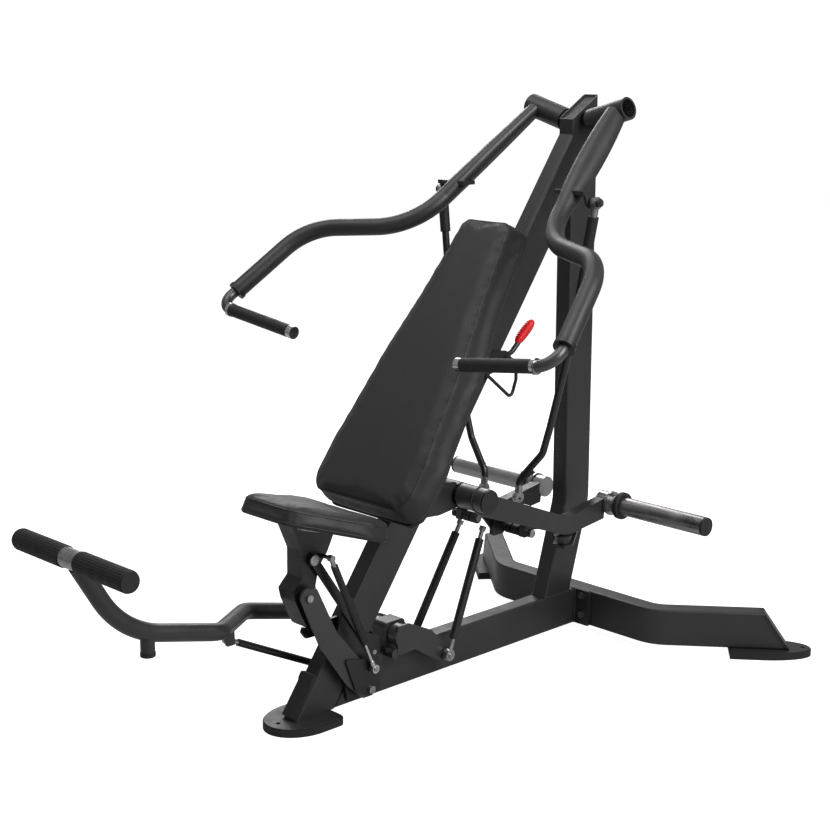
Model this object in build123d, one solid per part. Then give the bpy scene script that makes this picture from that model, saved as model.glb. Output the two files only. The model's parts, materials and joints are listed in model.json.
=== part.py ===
from build123d import *
from math import cos, radians, sin, tan
import os

# Plate-loaded multi press with a foot-assist lever. Millimetres, +Z up, the user faces -Y,
# +X is the user's left, the floor is z = 0. Names ending in _YZ are (y, z) pairs.

# ---- main frame tubes ----
TUBE_W = 50
TUBE_D = 100
TUBE_R = 6
WALL = 3
LEAN = 35.5
BEAM_FOOT_Y = -378
BEAM_L = 2000
BASE_Z = 20
BASE_TOP_Z = BASE_Z + TUBE_D
POST_FRONT_Y = 600
POST_REAR_Y = POST_FRONT_Y + TUBE_D
POST_TOP_FRONT_Z = 1410
POST_TOP_REAR_Z = 1471
POST_KNEE_YZ = (650, 374.7)
POST_FOOT_Y = 574.5
POST_BEND_R = 150
BASE_END_Y = 649
FLANGE_T = 8
FLANGE_W = 150

# ---- rear leg, one bent tube ----
LEG_W = 56
LEG_Y = BASE_END_Y + FLANGE_T + LEG_W / 2
LEG_TURN = 40
LEG_KNEE_X = 274.6
LEG_BEND_R = 97
LEG_LEN = 360
LEG_FACE_X = 330
LEG_FACE_Y = 695
LEG_END_LOW = 297.5
LEG_END_HIGH = 229.3
CAP_T = 14

# ---- feet ----
RUBBER_TOP = 14
RIM_TOP = 17
PLATE_TOP = 20
RIM_W = 3
REAR_PAD_START = 156
REAR_PAD_MID = 237.4
REAR_PAD_HALF_L = 131
REAR_PAD_HALF_W = 55
FRONT_PAD_REAR_Y = -255
FRONT_PAD_MID_Y = -327
FRONT_PAD_CORNER = 18
FRONT_PAD_HALF_L = 98
FRONT_PAD_HALF_W = 78
FOOT_SCREW_R = 6
FOOT_SCREW_Y = -400

# ---- shafts ----
SHAFT_R = 12.5
BORE_R = 12.55
PIN_R = 6
PIN_BORE_R = 6.05

# ---- press arms ----
AXIS_TILT = 16
AXIS_YZ = (650, 1393)
ARM_TOP = (140, 640, 1434)
ARM_KNEE = (229, 271, 1138)
ARM_ELBOW = (509, 145, 1120)
ARM_END = (571, -43, 968)
ARM_R = 23
ARM_BEND_R = (190, 160)
ARM_OVAL_START = (27, 19)
ARM_OVAL_MID = (34, 22)
ARM_OVAL_RUN = 170
ARM_ROUND_RUN = 115
ARM_WALL = 3.5
BOSS_R = 30
BOSS_FROM = 47
BOSS_TO = 173.5
BOSS_RECESS_R = 24
BOSS_RECESS_AT = 132
HANDLE_R = 14
HANDLE_BEND_R = 42
HANDLE_CORNER_RUN = 60
GRIP_OUTER = (530, -98, 922)
GRIP_INNER = (290, -90, 891)
GRIP_R = 16.5
GRIP_COLLAR_R = 18.5
GRIP_COLLAR_L = 10
GRIP_TIP_L = 17
RING_R = 25.5
RING_L = 11

# ---- link rods from the arms to the weight levers ----
LINK_PIN = (266, 412, 1222)
LINK_AXIS = (1, -0.0581, 0.1111)
LINK_PATH = ((205, 390, 840), (150, 388, 640), (128, 387, 570), (62, 372, 490))
LINK_FOOT = (62, 368, 445)
LINK_R = 9.5
LINK_SLEEVE_R = 13.5
EYE_R = 15
EYE_W = 14

# ---- weight levers ----
LEVER_YZ = (185, 481)
LEVER_BOSS_R = 31.5
LEVER_BOSS_X = (42, 130)
LEVER_CAP_T = 5
BAR_X = (100, 130)
BAR_YZ = ((176, 505), (493, 379), (644, 403.5), (638, 346.5), (490, 329), (171, 443.5))
BAR_BEND_R = (25, 40, 2, 2, 95, 25)
HORN_YZ = (662, 386)
HORN_R = 25
HORN_NECK_R = 23
HORN_BASE_R = 29
HORN_FLANGE_X = (134, 140)
HORN_FLANGE_R = 33
HORN_FROM_X = 183
HORN_END_X = 453
HORN_COLLAR_R = 37
HORN_COLLAR_X = (165, 181)
HORN_CAP_T = 7
HORN_CAP_R = 24.6
HORN_WALL = 4
PEG_YZ = (338, 368)
PEG_X = (52, 142)
PEG_R = 8
PEG_ROLLER_R = 14
STUD_YZ = (368, 445)

# ---- yoke, push rods, crank ----
YOKE_X = (35, 41)
YOKE_BAR_YZ = (310, 373)
YOKE_BAR_HALF = 21
YOKE_BAR_X = 48
PUSH_TOP = (40, 260, 383)
PUSH_FOOT = (70, 106, 79)
PUSH_R = 11
PUSH_END_R = 6
CRANK_YZ = (-38, 162)
CRANK_HUB_R = 28
CRANK_HUB_X = (26, 50)
CRANK_PLATE_X = (50, 57)
PEDESTAL_X = 22
PEDESTAL_Y = (-73, -3)
PEDESTAL_TOP = 195
FOOT_ROD_FOOT_YZ = (-140, 65)
FOOT_ROD_HEAD_YZ = (-498, 241)
FOOT_ROD_X = -60
FOOT_ROD_R = 9
FOOT_CRANK_X = (-50, -43)

# ---- foot lever ----
FOOT_PIVOT_YZ = (-170, 200)
FOOT_TUBE_R = 21
FOOT_TUBE_X = -185
FOOT_HUB_R = 27
FOOT_HUB_X = (-212, -158)
ROLLER_YZ = (-941, 548)
ROLLER_R = 25
ROLLER_X = (29, 206)
ROLLER_RIBS = 24
SOCKET_R = 22.5
ROLLER_SHAFT_R = 10
ROLLER_BORE_R = 10.05
STUB_Y = -763
STUB_R = 16.5
STUB_FOOT_Z = 286

# ---- seat ----
SEAT_SLOPE = 17.06
SEAT_REAR_YZ = (-179.8, 455.6)
SEAT_T = 50
SEAT_OUTLINE = ((150, 0), (168, 20), (168, 70), (100, 251), (84, 270))
WEB_T = 9
REAR_PIN_R = 6
SEAT_LINK_FOOT_YZ = (-150, 53)
SEAT_LINK_HEAD_YZ = (-341, 332)
REAR_LINK_FOOT_YZ = (-122, 138)
REAR_LINK_HEAD_YZ = (-313, 417)
FRONT_LINK_X = (45, 51)
REAR_LINK_X = (33.5, 38.5)
CARRIER_X = (23, 28)
BASE_PLATE_X = (25, 32)
BASE_OUTER_X = (52.5, 56.5)
GAS_FOOT_YZ = (-149, 110)
GAS_HEAD_YZ = (-285, 422)
GAS_X = 68
GAS_R = 9
GAS_BODY_FROM = 80
GAS_BODY_TO = 318
GAS_ROD_TO = 240
GAS_BORE_TO = 280
GAS_ROD_R = 4
GAS_ROD_BORE_R = 4.05

# ---- back pad ----
PAD_BACK = 50
PAD_FRONT = 126
BOARD_BACK = 40
BACK_OUTLINE = ((150, 550), (178, 571), (186, 598), (188, 690), (178, 750), (157, 965),
                (132, 1070), (120, 1135), (92, 1344), (76, 1362))
FRONT_OUTLINE = ((140, 553), (164, 572), (175, 600), (174, 690), (166, 750), (144, 965),
                 (124, 1070), (112, 1135), (86, 1340), (70, 1354))

# ---- seat release ----
RELEASE_YZ = (352, 812)
RELEASE_X = 15
RELEASE_GRIP_FROM_YZ = (404, 842)
RELEASE_GRIP_TO_YZ = (468, 896)
RELEASE_GRIP_R = 13.5
CABLE_R = 4.5
CABLE_X = 34

SIDE = Plane(origin=(0, 0, 0), x_dir=(0, 1, 0), z_dir=(1, 0, 0))
UP_BEAM = Vector(0, sin(radians(LEAN)), cos(radians(LEAN)))
OFF_BEAM = Vector(0, -cos(radians(LEAN)), sin(radians(LEAN)))
BEAM_ORIGIN = Vector(0, BEAM_FOOT_Y, 0)
BIG = 3000


def beam_point(along, off, x=0):
    """Point measured up the leaning beam and out from its front face."""
    return BEAM_ORIGIN + UP_BEAM * along + OFF_BEAM * off + Vector(x, 0, 0)


def beam_front_y(z):
    return BEAM_FOOT_Y + z * tan(radians(LEAN))


def side_plate(outline, x_from, x_to, corner=0):
    """Flat plate parallel to the machine's side, cut to a (y, z) outline."""
    edge = FilletPolyline(*outline, radius=corner, close=True)
    face = SIDE * make_face(edge)
    return extrude(Pos(x_from, 0, 0) * face, x_to - x_from, dir=(1, 0, 0))


def rod(start, end, radius):
    axis = Vector(*end) - Vector(*start)
    return extrude(Plane(origin=start, z_dir=axis) * Circle(radius), axis.length)


def cross_rod(yz, x_from, x_to, radius):
    """Round bar parallel to X."""
    return rod((x_from, *yz), (x_to, *yz), radius)


def swept_rod(points, bend, radius):
    path = FilletPolyline(*points, radius=bend)
    return sweep(Plane(origin=path @ 0, z_dir=path % 0) * Circle(radius), path=path)


def tube_section(width, depth, corner, wall):
    return RectangleRounded(width, depth, corner) - RectangleRounded(
        width - 2 * wall, depth - 2 * wall, corner - wall)


def slab(x, y, z):
    """Box given by its low and high limits on each axis."""
    size = [high - low for low, high in (x, y, z)]
    return Pos(*[(low + high) / 2 for low, high in (x, y, z)]) * Box(*size)


def half_space(point, normal):
    """Large block filling the side of a plane its normal points to."""
    return extrude(Plane(origin=point, z_dir=normal) * Rectangle(2 * BIG, 2 * BIG), BIG)


def mirrored(shape):
    return mirror(shape, about=Plane.YZ)


def solids(*shapes):
    """One node holding several separate solids."""
    found = []
    for shape in shapes:
        found.extend(shape.solids())
    return Compound(children=found)


# ---------------------------------------------------------------- frame
def beam_plane():
    middle = beam_point(0, -TUBE_D / 2)
    return Plane(origin=middle, x_dir=(1, 0, 0), z_dir=UP_BEAM)


def incline_beam():
    start = beam_plane().offset(-TUBE_D)
    tube = extrude(start * tube_section(TUBE_W, TUBE_D, TUBE_R, WALL), BEAM_L)
    tube -= half_space((0, POST_FRONT_Y, 0), (0, 1, 0))
    return tube - half_space((0, 0, BASE_Z), (0, 0, -1))


def post_top_plane():
    run = Vector(0, TUBE_D, POST_TOP_REAR_Z - POST_TOP_FRONT_Z).normalized()
    return Plane(origin=(0, POST_FRONT_Y, POST_TOP_FRONT_Z), x_dir=(1, 0, 0),
                 z_dir=Vector(1, 0, 0).cross(run))


def post_path():
    knee_y, knee_z = POST_KNEE_YZ
    slope = (knee_y - POST_FOOT_Y) / (knee_z - BASE_TOP_Z)
    drop = knee_z
    foot = (0, knee_y - slope * drop, knee_z - drop)
    return FilletPolyline((0, knee_y, POST_TOP_REAR_Z + TUBE_D), (0, knee_y, knee_z), foot,
                          radius=POST_BEND_R)


def post_body(section):
    path = post_path()
    start = Plane(origin=path @ 0, x_dir=(1, 0, 0), z_dir=path % 0)
    body = sweep(start * section, path=path)
    body -= half_space((0, 0, BASE_TOP_Z), (0, 0, -1))
    return body


def rear_upright():
    top = post_top_plane()
    body = post_body(tube_section(TUBE_W, TUBE_D, TUBE_R, WALL))
    return body - half_space(top.origin, top.z_dir)


def top_cap():
    top = post_top_plane()
    inner = RectangleRounded(TUBE_W - 2 * WALL, TUBE_D - 2 * WALL, TUBE_R - WALL)
    body = post_body(inner)
    body -= half_space(top.origin - top.z_dir * WALL, top.z_dir)
    return body - half_space(top.origin - top.z_dir * (WALL + FLANGE_T), -top.z_dir)


def base_beam():
    start = Plane(origin=(0, BASE_END_Y, BASE_Z + TUBE_D / 2), x_dir=(1, 0, 0), z_dir=(0, -1, 0))
    tube = extrude(start * tube_section(TUBE_W, TUBE_D, TUBE_R, WALL), BIG)
    return tube - half_space(beam_point(0, -TUBE_D), OFF_BEAM)


def flange_bolt_spots():
    return [(x, z) for x in (-50, 50) for z in (49, 105)]


def rear_flange():
    plane = Plane(origin=(0, BASE_END_Y, BASE_Z + TUBE_D / 2), x_dir=(1, 0, 0), z_dir=(0, -1, 0))
    plate = extrude(plane * RectangleRounded(FLANGE_W, TUBE_D, TUBE_R), -FLANGE_T)
    for x, z in flange_bolt_spots():
        plate -= rod((x, BASE_END_Y - 1, z), (x, BASE_END_Y + FLANGE_T + 1, z), PIN_R)
    return plate


def flange_bolts():
    bolts = []
    depth = FLANGE_T + WALL + 6
    for x, z in flange_bolt_spots():
        head = Plane(origin=(x, BASE_END_Y, z), z_dir=(0, -1, 0))
        bolt = extrude(head * RegularPolygon(10, 6), 7)
        bolts.append(bolt + rod((x, BASE_END_Y, z), (x, BASE_END_Y + depth, z), PIN_R))
    return solids(*bolts)


def leg_direction(side):
    turn = radians(LEG_TURN)
    return Vector(side * cos(turn), sin(turn), 0)


def leg_point(side, along, back, z):
    """Point on a rear leg: along it from where its front face is gauged, and behind that face."""
    turn = radians(LEG_TURN)
    x = LEG_FACE_X + along * cos(turn) - back * sin(turn)
    y = LEG_FACE_Y + along * sin(turn) + back * cos(turn)
    return Vector(side * x, y, z)


def leg_end_plane(side, extra=0):
    low = leg_point(side, LEG_END_LOW + extra, 0, BASE_Z)
    high = leg_point(side, LEG_END_HIGH + extra, 0, BASE_TOP_Z)
    across = leg_point(side, LEG_END_LOW + extra, LEG_W, BASE_Z) - low
    normal = (high - low).cross(across).normalized()
    if normal.dot(leg_direction(side)) < 0:
        normal = -normal
    return low, normal


def leg_body(section):
    z = BASE_Z + TUBE_D / 2
    ends = [Vector(side * LEG_KNEE_X, LEG_Y, z) + leg_direction(side) * LEG_LEN for side in (-1, 1)]
    path = FilletPolyline(ends[0], (-LEG_KNEE_X, LEG_Y, z), (LEG_KNEE_X, LEG_Y, z), ends[1],
                          radius=LEG_BEND_R)
    start = Plane(origin=path @ 0, x_dir=(path % 0).cross(Vector(0, 0, 1)), z_dir=path % 0)
    return sweep(start * section, path=path)


def rear_leg_tube():
    body = leg_body(tube_section(LEG_W, TUBE_D, TUBE_R, WALL))
    for side in (-1, 1):
        body -= half_space(*leg_end_plane(side))
    for x, z in flange_bolt_spots():
        body -= rod((x, BASE_END_Y, z), (x, LEG_Y, z), PIN_R)
    return body


def end_caps():
    caps = [top_cap()]
    for side in (-1, 1):
        body = leg_body(RectangleRounded(LEG_W, TUBE_D, TUBE_R))
        inner_point, normal = leg_end_plane(side)
        outer_point, _ = leg_end_plane(side, CAP_T)
        keep = half_space(inner_point, normal) - half_space(outer_point, normal)
        caps.append(body & keep)
    return solids(*caps)


def rear_pad_outline(side, grow):
    """Foot plate outline under a rear leg: straight sides with a half-ellipse tip."""
    turn = radians(LEG_TURN)
    centre = leg_point(side, REAR_PAD_MID, LEG_W / 2, 0)
    plane = Plane(origin=centre, x_dir=(side * cos(turn), sin(turn), 0), z_dir=(0, 0, 1))
    half = REAR_PAD_HALF_W + grow
    back = REAR_PAD_MID - REAR_PAD_START + grow
    tip = Ellipse(REAR_PAD_HALF_L + grow, half) & Pos(BIG / 2, 0) * Rectangle(BIG, BIG)
    return plane * (Pos(-back / 2, 0) * Rectangle(back, 2 * half) + tip)


def front_pad_outline(grow):
    plane = Plane(origin=(0, FRONT_PAD_MID_Y, 0), x_dir=(0, -1, 0), z_dir=(0, 0, 1))
    half = FRONT_PAD_HALF_W + grow
    back = FRONT_PAD_REAR_Y - FRONT_PAD_MID_Y + grow
    tip = Ellipse(FRONT_PAD_HALF_L + grow, half) & Pos(BIG / 2, 0) * Rectangle(BIG, BIG)
    outline = Pos(-back / 2, 0) * Rectangle(back, 2 * half) + tip
    outline = fillet(outline.vertices().sort_by(Axis.X)[:2], FRONT_PAD_CORNER + grow)
    return plane * outline


def lifted(outline, z_from, z_to):
    return extrude(Pos(0, 0, z_from) * outline, z_to - z_from, dir=(0, 0, 1))


def foot_screw_spots():
    spots = [Vector(0, FOOT_SCREW_Y, 0)]
    for side in (-1, 1):
        spots.append(leg_point(side, REAR_PAD_MID + REAR_PAD_HALF_L - PLATE_TOP, LEG_W / 2, 0))
    return spots


def pad_outlines(grow):
    return [front_pad_outline(grow), rear_pad_outline(-1, grow), rear_pad_outline(1, grow)]


def foot_plates():
    plates = [lifted(outline, RUBBER_TOP, PLATE_TOP) for outline in pad_outlines(0)]
    for i, spot in enumerate(foot_screw_spots()):
        hole = rod(spot, spot + Vector(0, 0, PLATE_TOP + 1), FOOT_SCREW_R)
        plates[0 if i == 0 else i] -= hole
    return solids(*plates)


def foot_rubbers():
    pads = []
    for low, high in zip(pad_outlines(RIM_W), pad_outlines(0)):
        pads.append(lifted(low, 0, RIM_TOP) - lifted(high, RUBBER_TOP, RIM_TOP + 1))
    for i, spot in enumerate(foot_screw_spots()):
        pads[i] -= rod(spot, spot + Vector(0, 0, PLATE_TOP), FOOT_SCREW_R)
    return solids(*pads)


def kick_guard():
    profile = [beam_point(28, 0), beam_point(28, 8), beam_point(118, 8), beam_point(126, 12),
               beam_point(141, 12), beam_point(145, 0)]
    outline = [(p.Y, p.Z) for p in profile]
    return side_plate(outline, -TUBE_W / 2 + 1, TUBE_W / 2 - 1)


# ---------------------------------------------------------------- press arm pivots
def press_axis_point(side, reach):
    tilt = radians(AXIS_TILT)
    return Vector(side * reach * cos(tilt), AXIS_YZ[0], AXIS_YZ[1] + reach * sin(tilt))


def press_axles():
    pins = []
    for side in (-1, 1):
        pin = rod(press_axis_point(side, 0), press_axis_point(side, BOSS_RECESS_AT + 0.6), SHAFT_R)
        pin += rod(press_axis_point(side, 36), press_axis_point(side, BOSS_FROM - 0.5), 22)
        pin += rod(press_axis_point(side, BOSS_RECESS_AT + 0.5),
                   press_axis_point(side, BOSS_RECESS_AT + 5), 18)
        pin += rod(press_axis_point(side, BOSS_RECESS_AT + 5),
                   press_axis_point(side, BOSS_RECESS_AT + 11), 8)
        pins.append(pin & half_space((side * TUBE_W / 2, 0, 0), (side, 0, 0)))
    return solids(*pins)


def oval_plane(origin, along):
    wide = Vector(1, 0.62, -0.77)
    wide = (wide - along * wide.dot(along)).normalized()
    return Plane(origin=origin, x_dir=wide, z_dir=along)


def arm_body(thinner):
    """Arm tube without its boss: an oval run that becomes round before the first bend."""
    top = Vector(*ARM_TOP)
    knee = Vector(*ARM_KNEE)
    along = (knee - top).normalized()
    oval_end = knee - along * ARM_ROUND_RUN
    oval_start = top + along * (10 + 2 * thinner)
    oval_middle = top + along * ARM_OVAL_RUN
    sections = ((oval_start, ARM_OVAL_START), (oval_middle, ARM_OVAL_MID), (oval_end, (ARM_R, ARM_R)))
    oval = loft([oval_plane(point, along) * Ellipse(long - thinner, short - thinner)
                 for point, (long, short) in sections])
    run = swept_rod((oval_end, knee, ARM_ELBOW, ARM_END), ARM_BEND_R, ARM_R - thinner)
    return oval + run


def press_arm():
    body = arm_body(0)
    body += rod(press_axis_point(1, BOSS_FROM), press_axis_point(1, BOSS_TO), BOSS_R)
    body -= arm_body(ARM_WALL)
    body -= rod(press_axis_point(1, 0), press_axis_point(1, BOSS_TO + 10), BORE_R)
    body -= rod(press_axis_point(1, BOSS_RECESS_AT), press_axis_point(1, BOSS_TO + 10), BOSS_RECESS_R)
    return body + clevis()


def clevis():
    """Flat bar through the arm with a turned-down ear and the link pin."""
    y = LINK_PIN[1] - 8
    z = LINK_PIN[2] + 20
    bar = slab((158, 252), (y - 24, y + 20), (z - 1, z + 9))
    ear = side_plate(((y - 20, z + 4), (y + 20, z + 4), (y + 22, z - 20), (y + 8, z - 36),
                      (y - 6, z - 30)), 246, 252, 4)
    axis = Vector(*LINK_AXIS).normalized()
    pin_start = Vector(*LINK_PIN) - axis * 17
    pin_end = Vector(*LINK_PIN) + axis * 19
    nut_start = Vector(*LINK_PIN) + axis * 8.5
    return bar + ear + rod(pin_start, pin_end, PIN_R) + rod(nut_start, nut_start + axis * 8, 10)


def arm_direction():
    return (Vector(*ARM_END) - Vector(*ARM_ELBOW)).normalized()


def press_handle():
    start = Vector(*ARM_END)
    grip_run = (Vector(*GRIP_INNER) - Vector(*GRIP_OUTER)).normalized()
    outer = Vector(*GRIP_OUTER)
    corner = outer - grip_run * HANDLE_CORNER_RUN
    body = swept_rod((start, corner, GRIP_INNER), HANDLE_BEND_R, HANDLE_R)
    body += rod(start, start + arm_direction() * RING_L, RING_R)
    body += rod(outer - grip_run * GRIP_COLLAR_L, outer, GRIP_COLLAR_R)
    inner = Vector(*GRIP_INNER)
    return body + rod(inner - grip_run * GRIP_TIP_L, inner, GRIP_R)


def press_grip():
    outer = Vector(*GRIP_OUTER)
    inner = Vector(*GRIP_INNER)
    run = (inner - outer).normalized()
    end = inner - run * GRIP_TIP_L
    return rod(outer, end, GRIP_R) - rod(outer, end, HANDLE_R)


def eye(centre, axis, bore):
    half = Vector(*axis).normalized() * (EYE_W / 2)
    middle = Vector(*centre)
    return rod(middle - half, middle + half, EYE_R), rod(middle - half, middle + half, bore)


def link_rod():
    """Push-pull rod from an arm pin down to a weight lever, with an eye at each end."""
    pin = Vector(*LINK_PIN)
    first = Vector(*LINK_PATH[0])
    foot = Vector(*LINK_FOOT)
    down = (first - pin).normalized()
    body = swept_rod((pin + down * 12, *LINK_PATH, foot), 40, LINK_R)
    body += rod(pin + down * 34, pin + down * 112, LINK_SLEEVE_R)
    top_eye, top_bore = eye(LINK_PIN, LINK_AXIS, PIN_BORE_R)
    low_eye, low_bore = eye(LINK_FOOT, (1, 0, 0), PIN_R)
    return body + top_eye + low_eye - top_bore - low_bore


# ---------------------------------------------------------------- weight levers
def lever_mount_plates():
    outline = ((40, 520), (120, 524), (172, 516), (172, 448), (108, 440), (30, 446))
    ring = cross_rod(LEVER_YZ, -BIG, BIG, 32)
    plate = side_plate(outline, 25, 31, 8) - ring
    return solids(plate, mirrored(plate))


def lever_bearing_housing():
    return cross_rod(LEVER_YZ, -34, 34, 32) - cross_rod(LEVER_YZ, -34, 34, SHAFT_R)


def lever_shaft():
    return cross_rod(LEVER_YZ, -LEVER_BOSS_X[1] + 1, LEVER_BOSS_X[1] - 1, SHAFT_R)


def weight_lever():
    bar = side_plate(BAR_YZ, BAR_X[0], BAR_X[1], BAR_BEND_R)
    bar -= side_plate(((212, 482), (493, 376), (648, 400), (648, 351), (490, 333), (212, 435)),
                      BAR_X[0] + 4, BAR_X[1] - 4, (4, 36, 0, 0, 91, 4))
    bar += cross_rod(LEVER_YZ, LEVER_BOSS_X[0], LEVER_BOSS_X[1], LEVER_BOSS_R)
    y, z = PEG_YZ
    bar += slab((BAR_X[0] + 5, BAR_X[1] - 5), (y - 12, y + 12), (z - 12, z + 17))
    bar -= cross_rod(PEG_YZ, PEG_X[0], PEG_X[1], PEG_R)
    bar += cross_rod((STUD_YZ[0], STUD_YZ[1] - 24), 78, BAR_X[0] + 2, 9)
    bar -= horn_base()
    bar -= cross_rod(LEVER_YZ, LEVER_BOSS_X[0], LEVER_BOSS_X[1], BORE_R)
    cap = cross_rod(LEVER_YZ, LEVER_BOSS_X[1], LEVER_BOSS_X[1] + LEVER_CAP_T, LEVER_BOSS_R - 1)
    return bar + cap


def horn_base():
    return cross_rod(HORN_YZ, BAR_X[0], HORN_FLANGE_X[0], HORN_BASE_R)


def weight_horn():
    """Plate horn: base in the bar, flange, a neck under the collar, then the 50 mm horn itself."""
    cap_x = HORN_END_X - HORN_CAP_T
    horn = horn_base()
    horn += cross_rod(HORN_YZ, *HORN_FLANGE_X, HORN_FLANGE_R)
    horn += cross_rod(HORN_YZ, HORN_FLANGE_X[1], HORN_FROM_X, HORN_NECK_R)
    horn += cross_rod(HORN_YZ, HORN_FROM_X, cap_x, HORN_R)
    return horn - cross_rod(HORN_YZ, BAR_X[0] + 10, cap_x + 1, HORN_NECK_R - HORN_WALL)


def horn_rubber():
    x = HORN_COLLAR_X
    collar = cross_rod(HORN_YZ, *x, HORN_COLLAR_R) - cross_rod(HORN_YZ, *x, HORN_NECK_R)
    collar = fillet(collar.edges().group_by(SortBy.LENGTH)[-1], 4)
    cap = cross_rod(HORN_YZ, HORN_END_X - HORN_CAP_T, HORN_END_X, HORN_CAP_R)
    return solids(collar, cap)


def lift_peg():
    """Rubber-sleeved peg below a bar, which the yoke's cross member sits beside."""
    peg = cross_rod(PEG_YZ, PEG_X[0], PEG_X[1], PEG_R)
    for start, end, radius in ((54, 72, PEG_ROLLER_R), (72, 77, 10), (77, 99, PEG_ROLLER_R),
                               (131, 142, 11)):
        peg += cross_rod(PEG_YZ, start, end, radius)
    return peg


def stop_bracket():
    """Flat arms from the upright out under each lever's bend."""
    z = 296
    outline = ((22, 622), (25, 576), (96, 470), (134, 470), (134, 508), (40, 640), (22, 640))
    plate = lifted(make_face(FilletPolyline(*outline, radius=5, close=True)), z, z + 8)
    plate &= half_space((TUBE_W / 2, 0, 0), (1, 0, 0))
    return solids(plate, mirrored(plate))


def stop_bumpers():
    cone = Pos(115, 489, 304) * Cone(14, 24, 23.5, align=(Align.CENTER, Align.CENTER, Align.MIN))
    return solids(cone, mirrored(cone))


# ---------------------------------------------------------------- foot drive
def crank_pedestal():
    y0, y1 = PEDESTAL_Y
    block = slab((-PEDESTAL_X, PEDESTAL_X), (y0, y1), (BASE_TOP_Z, PEDESTAL_TOP))
    block = fillet(block.edges().filter_by(Axis.X).sort_by(Axis.Z)[-2:], 12)
    return block - cross_rod(CRANK_YZ, -PEDESTAL_X, PEDESTAL_X, BORE_R)


def crank():
    outline = ((-60, 192), (-20, 192), (56, 156), (118, 96), (120, 66), (92, 62), (48, 88),
               (0, 118), (-60, 116))
    body = cross_rod(CRANK_YZ, -CRANK_HUB_X[1], CRANK_HUB_X[1], SHAFT_R)
    for side in (-1, 1):
        body += cross_rod(CRANK_YZ, side * CRANK_HUB_X[0], side * CRANK_PLATE_X[1], CRANK_HUB_R)
        x_low, x_high = sorted((side * CRANK_PLATE_X[0], side * CRANK_PLATE_X[1]))
        body += side_plate(outline, x_low, x_high, 8)
        body += cross_rod(PUSH_FOOT[1:], side * CRANK_PLATE_X[0], side * 62.5, 12)
        body += cross_rod(PUSH_FOOT[1:], side * 62, side * 80, PIN_R)
    arm = ((0, 150), (-52, 178), (-124, 84), (-158, 70), (-148, 48), (-122, 48), (-96, 70))
    body += side_plate(arm, *FOOT_CRANK_X, 5)
    return body + cross_rod((-66, 122), 29, 56, 13)


def push_rod():
    """Rod from a crank pin up to the yoke, silver joints at the ends."""
    foot = Vector(*PUSH_FOOT)
    top = Vector(*PUSH_TOP)
    along = (top - foot).normalized()
    body = rod(foot + along * 9, top, PUSH_END_R)
    body += rod(foot + along * 42, top - along * 34, PUSH_R)
    half = Vector(EYE_W / 2, 0, 0)
    body += rod(foot - half, foot + half, EYE_R)
    body += rod(top - along * 12, top, 9)
    return body - rod(foot - half, foot + half, PIN_BORE_R)


def yoke():
    y, z = YOKE_BAR_YZ
    half = YOKE_BAR_HALF
    outline = ((196, 512), (y + half, z + half + 6), (y + half, z - half), (y - half, z - half),
               (y - half, z - 2), (262, 402), (236, 424), (165, 457), (158, 500))
    body = fillet(slab((-YOKE_BAR_X, YOKE_BAR_X), (y - half, y + half), (z - half, z + half)).edges()
                  .filter_by(Axis.X), 5)
    for side in (-1, 1):
        x_low, x_high = sorted((side * YOKE_X[0], side * YOKE_X[1]))
        body += side_plate(outline, x_low, x_high, 5)
    return body - cross_rod(LEVER_YZ, -BIG / 2, BIG / 2, BORE_R)


def foot_lever_tube():
    hub_y, hub_z = FOOT_PIVOT_YZ
    shin = (0, -827.8, 356.7)
    points = ((0, -932, 533), shin, (0, -564, 292), (FOOT_TUBE_X, -350, 244),
              (FOOT_TUBE_X, hub_y, hub_z))
    path = FilletPolyline(*points, radius=(240, 75, 75))
    start = Plane(origin=path @ 0, z_dir=path % 0)
    body = sweep(start * Circle(FOOT_TUBE_R), path=path)
    body += cross_rod(FOOT_PIVOT_YZ, FOOT_HUB_X[0], FOOT_HUB_X[1], FOOT_HUB_R)
    body += rod((0, STUB_Y, 335), (0, STUB_Y, STUB_FOOT_Z + 10), STUB_R)
    y, z = FOOT_ROD_HEAD_YZ
    body += side_plate(((y - 30, z + 44), (y + 10, z + 34), (y + 12, z - 12), (y - 12, z - 12)),
                       FOOT_ROD_X + 8, FOOT_ROD_X + 14, 4)
    body += cross_rod(FOOT_ROD_HEAD_YZ, FOOT_ROD_X - 9, FOOT_ROD_X + 9, PIN_R)
    hollow = sweep(start * Circle(FOOT_TUBE_R - WALL), path=path)
    body -= hollow - half_space((0, hub_y - 34, 0), (0, 1, 0))
    body -= socket_body()
    return body - cross_rod(FOOT_PIVOT_YZ, FOOT_HUB_X[0], FOOT_HUB_X[1], BORE_R)


def socket_body():
    return cross_rod(ROLLER_YZ, -ROLLER_X[0] + 2, ROLLER_X[0] - 2, SOCKET_R)


def roller_socket():
    """Centre socket with the roller shaft through it and a grey disc at each end."""
    body = socket_body() + cross_rod(ROLLER_YZ, -ROLLER_X[1], ROLLER_X[1], ROLLER_SHAFT_R)
    for side in (-1, 1):
        body += cross_rod(ROLLER_YZ, side * (ROLLER_X[1] + 0.5), side * (ROLLER_X[1] + 3.5), ROLLER_R - 2)
        body += cross_rod(ROLLER_YZ, side * ROLLER_X[1], side * (ROLLER_X[1] + 1), ROLLER_SHAFT_R)
    return body


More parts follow.
